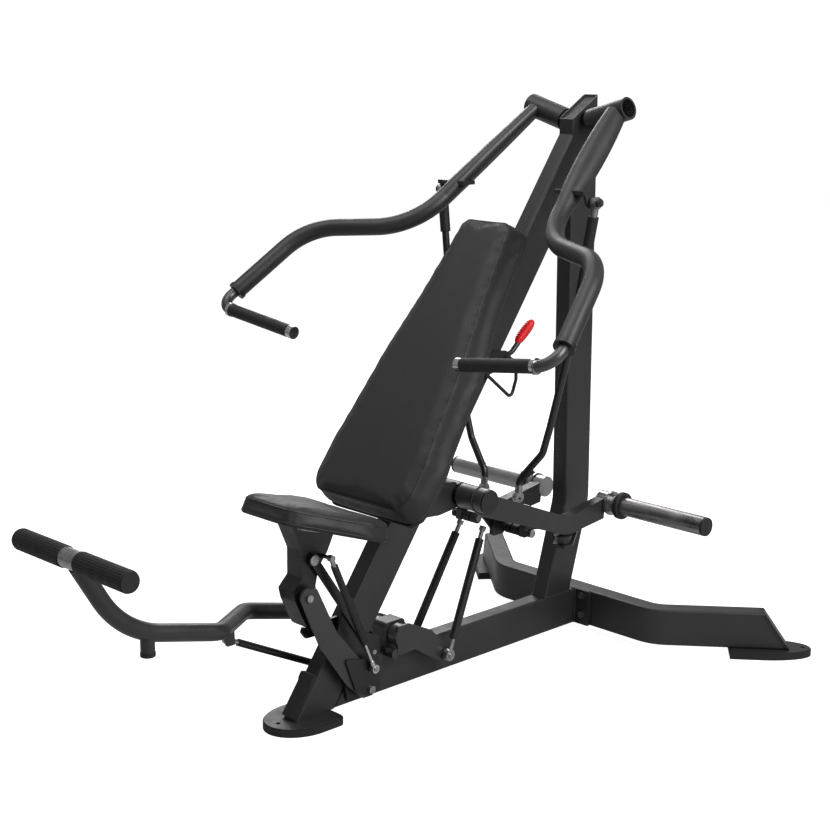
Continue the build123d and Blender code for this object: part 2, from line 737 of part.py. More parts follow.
def foot_roller():
    body = cross_rod(ROLLER_YZ, ROLLER_X[0], ROLLER_X[1], ROLLER_R)
    body = fillet(body.edges().filter_by(GeomType.CIRCLE), 2)
    groove_ring = ROLLER_R + 0.6
    for i in range(ROLLER_RIBS):
        turn = radians(360 * i / ROLLER_RIBS)
        y = ROLLER_YZ[0] + groove_ring * cos(turn)
        z = ROLLER_YZ[1] + groove_ring * sin(turn)
        body -= cross_rod((y, z), ROLLER_X[0] - 1, ROLLER_X[1] + 1, 1.7)
    return body - cross_rod(ROLLER_YZ, ROLLER_X[0], ROLLER_X[1], ROLLER_BORE_R)


def foot_stub_rubber():
    tip = rod((0, STUB_Y, STUB_FOOT_Z + 10), (0, STUB_Y, STUB_FOOT_Z), STUB_R + 1)
    return fillet(tip.edges().sort_by(Axis.Z)[0], 2)


def foot_rod():
    head = Vector(FOOT_ROD_X, *FOOT_ROD_HEAD_YZ)
    foot = Vector(FOOT_ROD_X, *FOOT_ROD_FOOT_YZ)
    along = (foot - head).normalized()
    half = Vector(EYE_W / 2, 0, 0)
    body = rod(head + along * 9, foot, PUSH_END_R) + rod(head + along * 34, foot - along * 44, FOOT_ROD_R)
    body += rod(head - half, head + half, EYE_R - 3) + rod(foot - half, foot + half, EYE_R - 2)
    return body - rod(head - half, head + half, PIN_BORE_R)


def foot_pivot_axle():
    body = cross_rod(FOOT_PIVOT_YZ, FOOT_HUB_X[0], -TUBE_W / 2, SHAFT_R)
    body += cross_rod(FOOT_PIVOT_YZ, FOOT_HUB_X[1] + 0.5, FOOT_HUB_X[1] + 8, 20)
    body += cross_rod(FOOT_PIVOT_YZ, FOOT_HUB_X[0] - 5, FOOT_HUB_X[0] - 0.5, 20)
    return body


# ---------------------------------------------------------------- seat
def seat_base_bracket():
    """Plate on the beams' near side that carries the seat pivots, and the small stop tab."""
    outline = ((-208, 298), (-186, 292), (-150, 196), (-98, 172), (-96, 128), (-112, 92),
               (-118, 30), (-206, 30), (-222, 100), (-236, 220))
    plate = side_plate(outline, BASE_PLATE_X[0], BASE_PLATE_X[1], 8)
    for spot in (SEAT_LINK_FOOT_YZ, REAR_LINK_FOOT_YZ, GAS_FOOT_YZ):
        plate -= cross_rod(spot, BASE_PLATE_X[0], BASE_PLATE_X[1], PIN_R)
    outer = side_plate(((-234, 152), (-140, 130), (-120, 118), (-120, 44), (-148, 38), (-200, 62)),
                       *BASE_OUTER_X, 6)
    outer -= cross_rod(SEAT_LINK_FOOT_YZ, *BASE_OUTER_X, PIN_R)
    outer -= cross_rod(GAS_FOOT_YZ, *BASE_OUTER_X, PIN_R)
    web = slab((BASE_PLATE_X[1], BASE_OUTER_X[0]), (-126, -120), (60, 112))
    return solids(plate + web + outer, seat_stop_tab())


def seat_stop_tab():
    front = beam_front_y
    outline = ((front(244) - 2, 244), (-320, 241), (-325, 230), (-312, 212), (front(210), 210))
    tab = side_plate(outline, -4, 4, 3)
    for spot in ((-305, 233), (-311, 221)):
        tab -= cross_rod(spot, -4, 4, 3)
    return tab - half_space(beam_point(0, 0), -OFF_BEAM)


def seat_pivot_pins():
    """Pins held in the base bracket for both seat links and the gas spring."""
    front = cross_rod(SEAT_LINK_FOOT_YZ, BASE_PLATE_X[0], BASE_OUTER_X[1] + 1, PIN_R)
    front += cross_rod(SEAT_LINK_FOOT_YZ, BASE_OUTER_X[1], BASE_OUTER_X[1] + 6, 10)
    rear = cross_rod(REAR_LINK_FOOT_YZ, BASE_PLATE_X[0], REAR_LINK_X[1] + 1, PIN_R)
    gas = cross_rod(GAS_FOOT_YZ, BASE_PLATE_X[0], GAS_X + 8, PIN_R)
    return solids(front, rear, gas)


def seat_link_front():
    outline = ((-366, 338), (-334, 262), (-303, 193), (-225, 82), (-172, 34), (-134, 34),
               (-130, 62), (-156, 78), (-182, 140), (-255, 226), (-282, 282), (-316, 352), (-352, 358))
    corners = (14, 0, 0, 0, 12, 12, 10, 8, 20, 0, 0, 14, 14)
    plate = side_plate(outline, FRONT_LINK_X[0], FRONT_LINK_X[1], corners)
    plate -= cross_rod((-277, 290), FRONT_LINK_X[0], FRONT_LINK_X[1], 4)
    plate -= cross_rod(SEAT_LINK_HEAD_YZ, FRONT_LINK_X[0], FRONT_LINK_X[1], PIN_BORE_R)
    return plate - cross_rod(SEAT_LINK_FOOT_YZ, FRONT_LINK_X[0], FRONT_LINK_X[1], PIN_BORE_R)


def seat_link_rear():
    foot = Vector(0, *REAR_LINK_FOOT_YZ)
    head = Vector(0, *REAR_LINK_HEAD_YZ)
    plate = cross_rod(REAR_LINK_FOOT_YZ, REAR_LINK_X[0], REAR_LINK_X[1], 14)
    plate += cross_rod(REAR_LINK_HEAD_YZ, REAR_LINK_X[0], REAR_LINK_X[1], 14)
    along = (head - foot).normalized()
    side = along.cross(Vector(1, 0, 0)) * 12
    corners = [foot + side, head + side, head - side, foot - side]
    plate += side_plate([(p.Y, p.Z) for p in corners], REAR_LINK_X[0], REAR_LINK_X[1])
    plate -= cross_rod(REAR_LINK_HEAD_YZ, REAR_LINK_X[0], REAR_LINK_X[1], PIN_R + 3)
    return plate - cross_rod(REAR_LINK_FOOT_YZ, REAR_LINK_X[0], REAR_LINK_X[1], PIN_BORE_R)


def seat_plane():
    slope = radians(SEAT_SLOPE)
    return Plane(origin=(0, *SEAT_REAR_YZ), x_dir=(-1, 0, 0), z_dir=(0, sin(slope), cos(slope)))


def seat_bracket():
    """Waisted bracket: a sloping top plate, two side plates and a front web."""
    plane = seat_plane()
    body = plane * extrude(Pos(0, 126) * RectangleRounded(130, 156, 10), -6)
    front = ((-376, 524), (-340, 441), (-341, 376), (-369, 348), (-363, 322), (-342, 277), (-328, 250))
    rear = ((-306, 250), (-298, 300), (-300, 350), (-290, 392), (-262, 425), (-232, 484))
    for x_low, x_high in (CARRIER_X, (-CARRIER_X[1], -CARRIER_X[0])):
        body += side_plate(front + rear, x_low, x_high, 7)
    inner = [(y + WEB_T, z) for y, z in reversed(front)]
    body += side_plate((*front, *inner), -CARRIER_X[0], CARRIER_X[0])
    body -= half_space(plane.origin, plane.z_dir)
    body += cross_rod(SEAT_LINK_HEAD_YZ, CARRIER_X[0], FRONT_LINK_X[1] + 1, PIN_R)
    body += cross_rod(SEAT_LINK_HEAD_YZ, CARRIER_X[1], FRONT_LINK_X[0] - 0.5, 12)
    body += cross_rod(SEAT_LINK_HEAD_YZ, FRONT_LINK_X[1] + 0.5, FRONT_LINK_X[1] + 7, 9)
    body += cross_rod(REAR_LINK_HEAD_YZ, CARRIER_X[1], REAR_LINK_X[1] + 2, REAR_PIN_R)
    body += cross_rod(REAR_LINK_HEAD_YZ, REAR_LINK_X[1] + 1, REAR_LINK_X[1] + 4, 13)
    return body + cross_rod(GAS_HEAD_YZ, CARRIER_X[0], GAS_X - 9.5, 5)


def half_outline(stations, radius):
    """Closed outline from (half width, length) stations, mirrored about the middle."""
    left = [(-w, l) for w, l in reversed(stations)]
    return make_face(FilletPolyline(*stations, *left, radius=radius, close=True))


def seat_pad():
    body = extrude(half_outline(SEAT_OUTLINE, 16), SEAT_T)
    body = fillet(body.faces().sort_by(Axis.Z)[-1].edges(), 13)
    return seat_plane() * body


def gas_line():
    foot = Vector(GAS_X, *GAS_FOOT_YZ)
    head = Vector(GAS_X, *GAS_HEAD_YZ)
    return foot, head, (head - foot).normalized()


def gas_rod():
    """Lower half of the gas spring, an eye on the base pin and the rod above it."""
    foot, _, along = gas_line()
    half = Vector(6, 0, 0)
    body = rod(foot + along * 8, foot + along * GAS_ROD_TO, GAS_ROD_R) + rod(foot - half, foot + half, 11)
    body += rod(foot + along * 8, foot + along * 24, 6)
    return body - rod(foot - half, foot + half, PIN_BORE_R)


def gas_cylinder():
    """Upper half, the black cylinder under its silver ball socket."""
    foot, head, along = gas_line()
    body = rod(foot + along * GAS_BODY_FROM, foot + along * GAS_BODY_TO, GAS_R)
    body -= rod(foot + along * (GAS_BODY_FROM - 1), foot + along * GAS_BORE_TO, GAS_ROD_BORE_R)
    half = Vector(7, 0, 0)
    return body + rod(foot + along * (GAS_BODY_TO - 1), head, 6) + rod(head - half, head + half, 8)


# ---------------------------------------------------------------- back rest
def back_plane():
    return Plane(origin=BEAM_ORIGIN, x_dir=(1, 0, 0), z_dir=OFF_BEAM)


def back_pad():
    rear = back_plane().offset(PAD_BACK) * half_outline(BACK_OUTLINE, 14)
    front = back_plane().offset(PAD_FRONT) * half_outline(FRONT_OUTLINE, 14)
    return loft([rear, front])


def back_board():
    shrunk = [(w - 12, l) for w, l in BACK_OUTLINE]
    return extrude(back_plane().offset(BOARD_BACK) * half_outline(shrunk, 10), PAD_BACK - BOARD_BACK)


def back_pad_brackets():
    """Channels that hold the board off the beam at two heights."""
    parts = []
    for along in (700, 1180):
        low = back_plane() * Pos(0, along, BOARD_BACK / 2)
        channel = low * (Box(TUBE_W, 60, BOARD_BACK) - Box(TUBE_W - 8, 61, BOARD_BACK + 1))
        parts.append(channel)
    return solids(*parts)


# ---------------------------------------------------------------- seat release
def release_bracket():
    outline = ((250, 800), (306, 838), (352, 832), (372, 812), (396, 800), (392, 786),
               (344, 790), (262, 770))
    plate = side_plate(outline, 25, 29, 5)
    for y, z in ((384, 792), (272, 782)):
        plate += slab((29, 39), (y - 7, y + 7), (z - 6, z + 6))
    return plate - cross_rod(RELEASE_YZ, 25, 29, PIN_R) - release_cable()


def release_lever():
    """Hand lever on the bracket's pin, bent up to the ribbed grip."""
    y, z = RELEASE_YZ
    body = swept_rod(((RELEASE_X, y, z), (RELEASE_X, 388, 822), (RELEASE_X, 460, 888)), 40, 7)
    body += cross_rod(RELEASE_YZ, RELEASE_X - 8, 24.8, 11)
    return body + cross_rod(RELEASE_YZ, 24, 33, PIN_R - 0.05)


def release_grip():
    start = Vector(RELEASE_X, *RELEASE_GRIP_FROM_YZ)
    end = Vector(RELEASE_X, *RELEASE_GRIP_TO_YZ)
    body = rod(start, end, RELEASE_GRIP_R)
    return fillet(body.edges().filter_by(GeomType.CIRCLE), 9) - release_lever()


def release_cable():
    """Bowden cable from the bracket's tab, down round a loop and into the beam's side."""
    points = ((CABLE_X, 384, 800), (CABLE_X, 384, 752), (CABLE_X, 366, 706), (CABLE_X, 262, 790))
    return swept_rod(points, 12, CABLE_R)


def nodes():
    arm, handle, grip, link = press_arm(), press_handle(), press_grip(), link_rod()
    lever, horn, rubber, peg, push = weight_lever(), weight_horn(), horn_rubber(), lift_peg(), push_rod()
    roller = foot_roller()
    table = {
        "incline_beam": incline_beam(), "rear_upright": rear_upright(), "base_beam": base_beam(),
        "rear_flange": rear_flange(), "flange_bolts": flange_bolts(),
        "rear_leg_tube": rear_leg_tube(), "tube_end_caps": end_caps(),
        "foot_plates": foot_plates(), "foot_rubbers": foot_rubbers(), "kick_guard": kick_guard(),
        "press_axles": press_axles(), "lever_mount_plates": lever_mount_plates(),
        "lever_bearing_housing": lever_bearing_housing(), "lever_shaft": lever_shaft(),
        "stop_bracket": stop_bracket(), "stop_bumpers": stop_bumpers(),
        "crank_pedestal": crank_pedestal(), "foot_pivot_axle": foot_pivot_axle(),
        "seat_base_bracket": seat_base_bracket(), 
        "seat_pivot_pins": seat_pivot_pins(), "back_pad_brackets": back_pad_brackets(),
        "back_board": back_board(), "back_pad": back_pad(), "release_bracket": release_bracket(),
        "release_cable": release_cable(), "release_lever": release_lever(),
        "release_grip": release_grip(), "crank": crank(), "yoke": yoke(),
        "foot_lever_tube": foot_lever_tube(), "roller_socket": roller_socket(),
        "foot_stub_rubber": foot_stub_rubber(), "foot_rod": foot_rod(),
        "seat_link_front": seat_link_front(), "seat_link_rear": seat_link_rear(),
        "seat_bracket": seat_bracket(), "seat_pad": seat_pad(), "gas_cylinder": gas_cylinder(),
        "gas_rod": gas_rod(),
    }
    pairs = {"press_arm": arm, "press_handle": handle,
             "press_grip": grip, "link_rod": link, "weight_lever": lever, "weight_horn": horn,
             "horn_rubber": rubber, "lift_peg": peg, "push_rod": push, "foot_roller": roller}
    for name, shape in pairs.items():
        table[name + "_left"] = shape
        table[name + "_right"] = mirrored(shape)
    return table


os.makedirs("parts", exist_ok=True)
for name, shape in nodes().items():
    export_step(shape, f"parts/{name}.step")
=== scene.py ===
import bpy
import bmesh
import json
from math import cos, pi, radians, sin
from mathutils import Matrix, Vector
from mathutils.bvhtree import BVHTree


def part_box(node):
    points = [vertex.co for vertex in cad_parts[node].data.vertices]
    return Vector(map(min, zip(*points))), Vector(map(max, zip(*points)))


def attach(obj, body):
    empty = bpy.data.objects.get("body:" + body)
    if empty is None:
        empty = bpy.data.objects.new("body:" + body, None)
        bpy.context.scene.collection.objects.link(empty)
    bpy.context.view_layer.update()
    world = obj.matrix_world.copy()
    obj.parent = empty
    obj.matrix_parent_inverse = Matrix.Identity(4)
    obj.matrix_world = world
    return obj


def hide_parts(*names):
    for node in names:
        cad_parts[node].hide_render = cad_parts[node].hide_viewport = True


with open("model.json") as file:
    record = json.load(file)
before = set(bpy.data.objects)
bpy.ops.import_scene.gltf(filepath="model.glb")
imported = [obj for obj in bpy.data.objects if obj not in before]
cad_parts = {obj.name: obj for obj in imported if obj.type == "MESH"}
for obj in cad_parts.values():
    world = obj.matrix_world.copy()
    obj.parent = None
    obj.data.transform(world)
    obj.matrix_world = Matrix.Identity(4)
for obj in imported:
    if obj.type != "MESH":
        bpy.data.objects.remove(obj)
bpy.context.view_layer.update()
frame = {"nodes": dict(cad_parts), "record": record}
NODES = frame["nodes"]
scene = bpy.context.scene
LR = (("left", 1), ("right", -1))

# ------------------------------------------------------------------ camera and light
CAMERA_AT = (2.919, -2.7513, 1.6184)
CAMERA_AZ = 46.14
CAMERA_DOWN = 12.73
LENS = 72.57
SENSOR = 36.0
FILL = 0.09
GLOSS_FILL = 0.3
BACKDROP = 1.05
FLOOR_GLOW = 0.95


def make_camera():
    data = bpy.data.cameras.new("camera")
    data.lens = LENS
    data.sensor_width = SENSOR
    obj = bpy.data.objects.new("camera", data)
    scene.collection.objects.link(obj)
    obj.location = CAMERA_AT
    obj.rotation_euler = (radians(90 - CAMERA_DOWN), 0, radians(CAMERA_AZ))
    scene.camera = obj


def area_light(name, at, aim, size, power):
    data = bpy.data.lights.new(name, "AREA")
    data.shape = "RECTANGLE"
    data.size, data.size_y = size
    data.energy = power
    obj = bpy.data.objects.new(name, data)
    scene.collection.objects.link(obj)
    obj.location = at
    obj.rotation_euler = (Vector(aim) - Vector(at)).to_track_quat("-Z", "Y").to_euler()
    return obj


def make_world():
    """White studio: the backdrop is bright, the fill that reaches matt surfaces is low."""
    world = bpy.data.worlds.new("studio")
    scene.world = world
    world.use_nodes = True
    tree = world.node_tree
    back = tree.nodes["Background"]
    back.inputs["Color"].default_value = (1, 1, 1, 1)
    ray = tree.nodes.new("ShaderNodeLightPath")
    strength = FILL
    for output, value in (("Is Glossy Ray", GLOSS_FILL), ("Is Camera Ray", BACKDROP)):
        mix = tree.nodes.new("ShaderNodeMix")
        mix.data_type = "FLOAT"
        tree.links.new(ray.outputs[output], mix.inputs["Factor"])
        if isinstance(strength, float):
            mix.inputs["A"].default_value = strength
        else:
            tree.links.new(strength, mix.inputs["A"])
        mix.inputs["B"].default_value = value
        strength = mix.outputs["Result"]
    tree.links.new(strength, back.inputs["Strength"])


FLOOR_HALF = 14.0
FLOOR_Z = -0.0005


def make_floor():
    mesh = bpy.data.meshes.new("studio_floor")
    half, low = FLOOR_HALF, FLOOR_Z
    mesh.from_pydata([(-half, -half, low), (half, -half, low), (half, half, low), (-half, half, low)],
                     [], [(0, 1, 2, 3)])
    obj = bpy.data.objects.new("studio_floor", mesh)
    scene.collection.objects.link(obj)
    mat = bpy.data.materials.new("floor_pale")
    mat.use_nodes = True
    tree = mat.node_tree
    shader = tree.nodes["Principled BSDF"]
    shader.inputs["Base Color"].default_value = (0.6, 0.6, 0.6, 1)
    shader.inputs["Roughness"].default_value = 0.8
    shader.inputs["Specular IOR Level"].default_value = 0.1
    glow = tree.nodes.new("ShaderNodeEmission")
    glow.inputs["Strength"].default_value = FLOOR_GLOW
    both = tree.nodes.new("ShaderNodeAddShader")
    seen = tree.nodes.new("ShaderNodeMixShader")
    ray = tree.nodes.new("ShaderNodeLightPath")
    tree.links.new(shader.outputs[0], both.inputs[0])
    tree.links.new(glow.outputs[0], both.inputs[1])
    tree.links.new(ray.outputs["Is Camera Ray"], seen.inputs[0])
    tree.links.new(shader.outputs[0], seen.inputs[1])
    tree.links.new(both.outputs[0], seen.inputs[2])
    tree.links.new(seen.outputs[0], tree.nodes["Material Output"].inputs["Surface"])
    mesh.materials.append(mat)


# ------------------------------------------------------------------ materials
class Nodes:
    """Small helper round one material's node tree."""

    def __init__(self, name):
        self.mat = bpy.data.materials.new(name)
        self.mat.use_nodes = True
        self.tree = self.mat.node_tree
        self.shader = self.tree.nodes["Principled BSDF"]
        self.coords = self.add("ShaderNodeTexCoord").outputs["Object"]

    def add(self, kind, **values):
        node = self.tree.nodes.new(kind)
        for key, value in values.items():
            if key in node.inputs:
                node.inputs[key].default_value = value
            else:
                setattr(node, key, value)
        return node

    def link(self, a, b):
        self.tree.links.new(a, b)

    def mapped(self, scale):
        node = self.add("ShaderNodeMapping")
        node.inputs["Scale"].default_value = scale
        self.link(self.coords, node.inputs["Vector"])
        return node.outputs["Vector"]

    def noise(self, scale, detail=3.0, vector=None, rough=0.55):
        node = self.add("ShaderNodeTexNoise")
        node.inputs["Scale"].default_value = scale
        node.inputs["Detail"].default_value = detail
        node.inputs["Roughness"].default_value = rough
        self.link(vector or self.coords, node.inputs["Vector"])
        return node.outputs["Fac"]

    def voronoi(self, scale, vector=None, feature="F1", output="Distance"):
        node = self.add("ShaderNodeTexVoronoi", feature=feature)
        node.inputs["Scale"].default_value = scale
        self.link(vector or self.coords, node.inputs["Vector"])
        return node.outputs[output]

    def ramp(self, value, stops):
        node = self.add("ShaderNodeValToRGB")
        ramp = node.color_ramp
        while len(ramp.elements) < len(stops):
            ramp.elements.new(0.5)
        for element, (place, colour) in zip(ramp.elements, stops):
            element.position = place
            element.color = (*colour, 1) if len(colour) == 3 else colour
        self.link(value, node.inputs["Fac"])
        return node.outputs["Color"]

    def range(self, value, low, high, out_low, out_high):
        node = self.add("ShaderNodeMapRange")
        for key, number in (("From Min", low), ("From Max", high), ("To Min", out_low),
                            ("To Max", out_high)):
            node.inputs[key].default_value = number
        self.link(value, node.inputs["Value"])
        return node.outputs["Result"]

    def bump(self, height, strength, distance, normal=None):
        node = self.add("ShaderNodeBump")
        node.inputs["Strength"].default_value = strength
        node.inputs["Distance"].default_value = distance
        self.link(height, node.inputs["Height"])
        if normal:
            self.link(normal, node.inputs["Normal"])
        return node.outputs["Normal"]

    def finish(self, colour=None, rough=None, normal=None, **fixed):
        for socket, source in (("Base Color", colour), ("Roughness", rough), ("Normal", normal)):
            if source is not None:
                self.link(source, self.shader.inputs[socket])
        for key, value in fixed.items():
            self.shader.inputs[key.replace("_", " ")].default_value = value
        return self.mat


def tint(colour, factor):
    return tuple(min(1.0, c * factor) for c in colour)


def powder_coat(name, colour, rough=0.42, metallic=0.35):
    """Textured powder coat: orange-peel bump, faint flake and slow colour drift."""
    n = Nodes(name)
    drift = n.noise(5.0, 4)
    flake = n.noise(1500.0, 1)
    peel = n.noise(620.0, 2)
    base = n.ramp(drift, ((0.3, tint(colour, 0.86)), (0.7, tint(colour, 1.12))))
    spark = n.ramp(flake, ((0.62, (0, 0, 0)), (0.78, tint(colour, 0.55))))
    mix = n.add("ShaderNodeMix", data_type="RGBA", blend_type="ADD")
    mix.inputs["Factor"].default_value = 1.0
    n.link(base, mix.inputs[6])
    n.link(spark, mix.inputs[7])
    roughness = n.range(n.noise(24.0, 5), 0.3, 0.7, rough - 0.06, rough + 0.08)
    normal = n.bump(peel, 0.16, 0.0004)
    return n.finish(mix.outputs[2], roughness, normal, Metallic=metallic, Coat_Weight=0.06,
                    Coat_Roughness=0.3)


def moulded(name, colour, rough=0.5, grain=900.0, depth=0.2):
    """Moulded plastic or rubber with a fine grain and slightly uneven gloss."""
    n = Nodes(name)
    base = n.ramp(n.noise(9.0, 5), ((0.3, tint(colour, 0.8)), (0.72, tint(colour, 1.25))))
    roughness = n.range(n.noise(40.0, 4), 0.3, 0.7, rough - 0.07, rough + 0.1)
    cells = n.voronoi(grain)
    normal = n.bump(cells, depth, 0.0003)
    return n.finish(base, roughness, normal)


def polished(name, colour, rough=0.1, smear=(6, 260, 260)):
    """Plated metal: near mirror with fine wiping marks and a little cloudiness."""
    n = Nodes(name)
    marks = n.noise(3.0, 6, n.mapped(smear))
    cloud = n.noise(14.0, 5)
    base = n.ramp(cloud, ((0.3, tint(colour, 0.9)), (0.7, colour)))
    roughness = n.range(cloud, 0.3, 0.7, rough * 0.7, rough * 1.6)
    normal = n.bump(marks, 0.05, 0.0002)
    return n.finish(base, roughness, normal, Metallic=1.0)


def zinc(name, colour=(0.36, 0.36, 0.37), rough=0.3):
    n = Nodes(name)
    spangle = n.voronoi(160.0, output="Color")
    grey = n.add("ShaderNodeRGBToBW")
    n.link(spangle, grey.inputs["Color"])
    base = n.ramp(grey.outputs["Val"], ((0.1, tint(colour, 0.82)), (0.9, tint(colour, 1.15))))
    roughness = n.range(n.noise(60.0, 4), 0.3, 0.7, rough - 0.08, rough + 0.12)
    normal = n.bump(n.noise(700.0, 2), 0.1, 0.0003)
    return n.finish(base, roughness, normal, Metallic=1.0)


def vinyl(name, colour, rough=0.46):
    """Upholstery vinyl: pebbled leather grain over soft broad wrinkles, with painted shade in the valleys
    between the pebbles.
    """
    n = Nodes(name)
    bent = n.add("ShaderNodeVectorMath", operation="ADD")
    wobble = n.add("ShaderNodeTexNoise")
    wobble.inputs["Scale"].default_value = 60.0
    n.link(n.coords, wobble.inputs["Vector"])
    shrink = n.add("ShaderNodeVectorMath", operation="SCALE")
    shrink.inputs["Scale"].default_value = 0.004
    n.link(wobble.outputs["Color"], shrink.inputs[0])
    n.link(n.coords, bent.inputs[0])
    n.link(shrink.outputs[0], bent.inputs[1])
    cells = n.voronoi(520.0, bent.outputs[0], feature="DISTANCE_TO_EDGE")
    pebbles_and_valley_shade = n.range(cells, 0.0, 0.22, 0.0, 1.0)
    fine = n.noise(1800.0, 2)
    broad = n.noise(11.0, 3)
    # painted shade: the base colour falls to 0.6 of the vinyl colour in the grain's valleys, where the bump
    # dips
    base = n.ramp(pebbles_and_valley_shade, ((0.0, tint(colour, 0.6)), (0.6, colour)))
    roughness = n.range(n.noise(18.0, 4), 0.3, 0.7, rough - 0.06, rough + 0.09)
    normal = n.bump(broad, 0.12, 0.004)
    normal = n.bump(pebbles_and_valley_shade, 0.28, 0.00035, normal)
    normal = n.bump(fine, 0.08, 0.0002, normal)
    return n.finish(base, roughness, normal, Sheen_Weight=0.08, Sheen_Roughness=0.5)


M = {
    "frame_paint": powder_coat("graphite_coat", (0.026, 0.0245, 0.0245), 0.42, 0.2),
    "dark_paint": powder_coat("black_coat", (0.0045, 0.0042, 0.0044), 0.38, 0.0),
    "grey_paint": powder_coat("grey_coat", (0.042, 0.040, 0.041), 0.38, 0.35),
    "chrome": polished("chrome_plate", (0.62, 0.62, 0.64), 0.14),
    "steel": zinc("zinc_plate"),
    "black_plastic": moulded("black_plastic", (0.0045, 0.0045, 0.005), 0.42),
    "rubber": moulded("black_rubber", (0.005, 0.005, 0.005), 0.6, 700.0, 0.3),
    "upholstery": vinyl("black_vinyl", (0.0125, 0.0112, 0.013), 0.5),
    "pad_side": vinyl("black_side_vinyl", (0.0045, 0.0043, 0.0045), 0.55),
    "board": moulded("painted_ply", (0.014, 0.013, 0.012), 0.65, 300.0, 0.25),
    "light_grey": powder_coat("silver_grey_coat", (0.11, 0.11, 0.115), 0.34, 0.5),
    "satin": powder_coat("handle_coat", (0.075, 0.075, 0.078), 0.32, 0.6),
    "horn": polished("satin_steel", (0.34, 0.33, 0.33), 0.28),
    "piping": moulded("piping_vinyl", (0.010, 0.010, 0.011), 0.4, 1200.0, 0.1),
    "red_plastic": moulded("red_grip", (0.80, 0.004, 0.012), 0.4, 800.0, 0.15),
}
SOFT = ("back_pad", "seat_pad", "release_grip", "press_arm_left", "press_arm_right")
FINISH = {"weight_horn_left": "horn", "weight_horn_right": "horn", "stop_bumpers": "grey_paint"}
SLOT_OF = {s["node"]: s["material_slot"] for s in frame["record"]["subparts"]}

scene.view_settings.view_transform = "Standard"
make_camera()
make_world()
make_floor()
area_light("key", (3.6, 0.6, 3.4), (0, 0.2, 0.7), (2.6, 2.6), 190)
area_light("top", (-0.5, -0.6, 4.2), (0, 0, 0.6), (3.0, 3.0), 70)
area_light("rim", (-3.0, 2.6, 2.8), (0, 0.2, 0.8), (2.0, 2.0), 70)

BODY_OF = {n: body for body, names in frame["record"]["behaviour"]["bodies"].items() for n in names}


# ------------------------------------------------------------------ pieces
def new_piece(name, mesh, body, mats, stands_for=()):
    """Put a mesh in the scene as a piece of the object."""
    obj = bpy.data.objects.new(name, mesh)
    scene.collection.objects.link(obj)
    mesh.materials.clear()
    for mat in mats:
        mesh.materials.append(mat)
    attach(obj, body)
    if stands_for:
        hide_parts(*stands_for)
    return obj


EDGE_WIDTH = 0.0009
EDGE_ANGLE = radians(38)


def soften(obj):
    """Small worn edge on machined and cut parts, which catches the light."""
    bevel = obj.modifiers.new("edge", "BEVEL")
    bevel.width = EDGE_WIDTH
    bevel.segments = 2
    bevel.limit_method = "ANGLE"
    bevel.angle_limit = EDGE_ANGLE
    bevel.use_clamp_overlap = True


def dress(name, mats, pick):
    """Copy of a node whose faces take one of several finishes, by where each face lies."""
    mesh = NODES[name].data.copy()
    obj = new_piece(name + "_finish", mesh, BODY_OF[name], [M[m] for m in mats], (name,))
    for poly in mesh.polygons:
        poly.material_index = pick(poly.center)
    soften(obj)


def mm(*values):
    return Vector(values) / 1000


def side_point(point, sign):
    return mm(sign * point[0], point[1], point[2])


def along(point, start, end):
    """How far a point lies along start to end, in metres, and how far from that line."""
    axis = end - start
    axis.normalize()
    offset = point - start
    run = offset.dot(axis)
    return run, (offset - axis * run).length


# Joint centres and ends in millimetres, for the left side; AXIS_YZ and the rest below are in metres.
LINK_PIN = (266, 412, 1222)
LINK_FIRST = (205, 390, 840)
LINK_FOOT = (62, 368, 445)
PUSH_TOP = (40, 260, 383)
PUSH_FOOT = (70, 106, 79)
ARM_ELBOW = (509, 145, 1120)
ARM_END = (571, -43, 968)
GRIP_OUTER = (530, -98, 922)
GRIP_INNER = (290, -90, 891)
FOOT_ROD_ENDS = ((-60, -498, 241), (-60, -140, 65))
GAS_ENDS = ((68, -149, 110), (68, -285, 422))
AXIS_YZ = (0.185, 0.481)
LINK_EYE_REACH = 0.034
LINK_SLEEVE_END = 0.113
PUSH_FOOT_JOINT = 0.0415
PUSH_TOP_JOINT = 0.0335
HANDLE_CAP_PAST = 0.0115
HANDLE_REACH = 0.03
GRIP_RING = (-0.011, 0.0005)
GRIP_END_CAP = 0.018
LEVER_BOSS_R = 0.0322
LEVER_BORE_R = 0.0316
LEVER_BOSS_FACE_X = 0.1302
LEVER_BOSS_INNER_X = 0.099
LEVER_STUD_X = 0.0995
LEVER_STUD_TOP = 0.44
PEG_YZ = (0.338, 0.368)
PEG_CORE_R = 0.0085
FOOT_ROD_JOINTS = (0.0335, 0.0435)
GAS_HEAD_RUN = 0.3175
GAS_BORE_EDGE_R = 0.0045
PRESS_AXIS_YZ = (0.65, 1.393)
AXLE_HUB_R = 0.0468
AXLE_HUB_HALF = 0.0225
SEAT_BOLT_YZ = (-0.341, 0.332)
SEAT_BOLT_HALF = 0.0125
SEAT_BOLT_FROM_X = 0.0505
GAS_BALL_FROM_XZ = (0.0285, 0.4)
CRANK_YZ = (-0.038, 0.162)
CRANK_HUB_R = 0.0282
CRANK_HUB_X = 0.0495
CRANK_PIN_X = 0.0622
ROLLER_CAP_X = 0.2062


def off_axis(c, axis_yz):
    """Distance of a point from a cross-wise axis through (y, z)."""
    return ((c.y - axis_yz[0]) ** 2 + (c.z - axis_yz[1]) ** 2) ** 0.5


